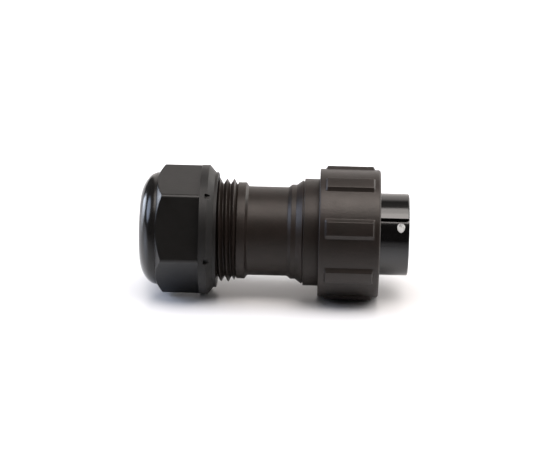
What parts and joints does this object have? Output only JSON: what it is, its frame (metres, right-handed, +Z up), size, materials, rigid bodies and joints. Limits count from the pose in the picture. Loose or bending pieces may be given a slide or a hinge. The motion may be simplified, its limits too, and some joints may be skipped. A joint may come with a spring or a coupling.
{
  "type": "circular connector",
  "caption": "Cable-mounted circular bayonet plug with a hexagon gland nut, waisted backshell, ribbed coupling ring and keyed barrel, lying on its side.",
  "frame": {"origin": "centre of the cable entry, on the connector's axis, in the plane of the gland nut's mouth", "axes": "+X along the connector's axis from the cable entry to the mating end, +Z up as it lies, -Y towards the viewer"},
  "size_m": [0.0572, 0.0276, 0.0276],
  "materials": {
    "nut_plastic": "fine matt moulded surface, glossier on the dome",
    "shell_plastic": "fine matt moulded surface",
    "ring_plastic": "fine matt moulded surface",
    "plug_plastic": "polished black moulding",
    "cage_plastic": "plain moulding",
    "insert_plastic": "satin moulding",
    "slide_plastic": "natural low-friction plastic",
    "seal_rubber": "matt black rubber",
    "grommet_rubber": "matt silicone rubber",
    "contact_metal": "gold flash over machined brass",
    "spring_steel": "plain spring steel",
    "dot_paint": "white marking paint"
  },
  "bodies": {
    "plug": {"backshell": "shell_plastic", "plug_shell": "plug_plastic", "index_dot": "dot_paint", "front_insert": "insert_plastic", "rear_insert": "insert_plastic", "wire_grommet": "grommet_rubber", "contact_1": "contact_metal", "contact_2": "contact_metal", "contact_3": "contact_metal", "contact_4": "contact_metal", "contact_5": "contact_metal", "contact_6": "contact_metal", "contact_7": "contact_metal", "contact_8": "contact_metal", "shell_gasket": "seal_rubber", "grommet_washer": "cage_plastic", "retaining_clip": "spring_steel", "thrust_washer": "slide_plastic", "wave_spring": "spring_steel", "interface_seal": "seal_rubber"},
    "clamp": {"clamp_cage": "cage_plastic", "cable_seal": "seal_rubber"},
    "nut": {"gland_nut": "nut_plastic"},
    "float": {"slip_washer": "slide_plastic"},
    "ring": {"coupling_ring": "ring_plastic"}
  },
  "joints": [
    {"name": "clamp_travel", "type": "slide", "parent": "plug", "child": "clamp", "axis": [1, 0, 0], "range_m": [-0.003, 0.00375]},
    {"name": "nut_turn", "type": "hinge", "parent": "clamp", "child": "nut", "pos_m": [0.008, 0, 0], "axis": [1, 0, 0], "range_deg": [-720, 900]},
    {"name": "ring_float", "type": "slide", "parent": "plug", "child": "float", "axis": [1, 0, 0], "range_m": [0, 0.0005], "stiffness_N_per_m": 2000, "springref_m": -0.001, "deforming": ["wave_spring"]},
    {"name": "ring_turn", "type": "hinge", "parent": "float", "child": "ring", "pos_m": [0.0412, 0, 0], "axis": [1, 0, 0], "continuous": true}
  ],
  "couplings": [
    {"joint": "clamp_travel", "follows": "nut_turn", "m_per_rad": 0.00023873}
  ]
}
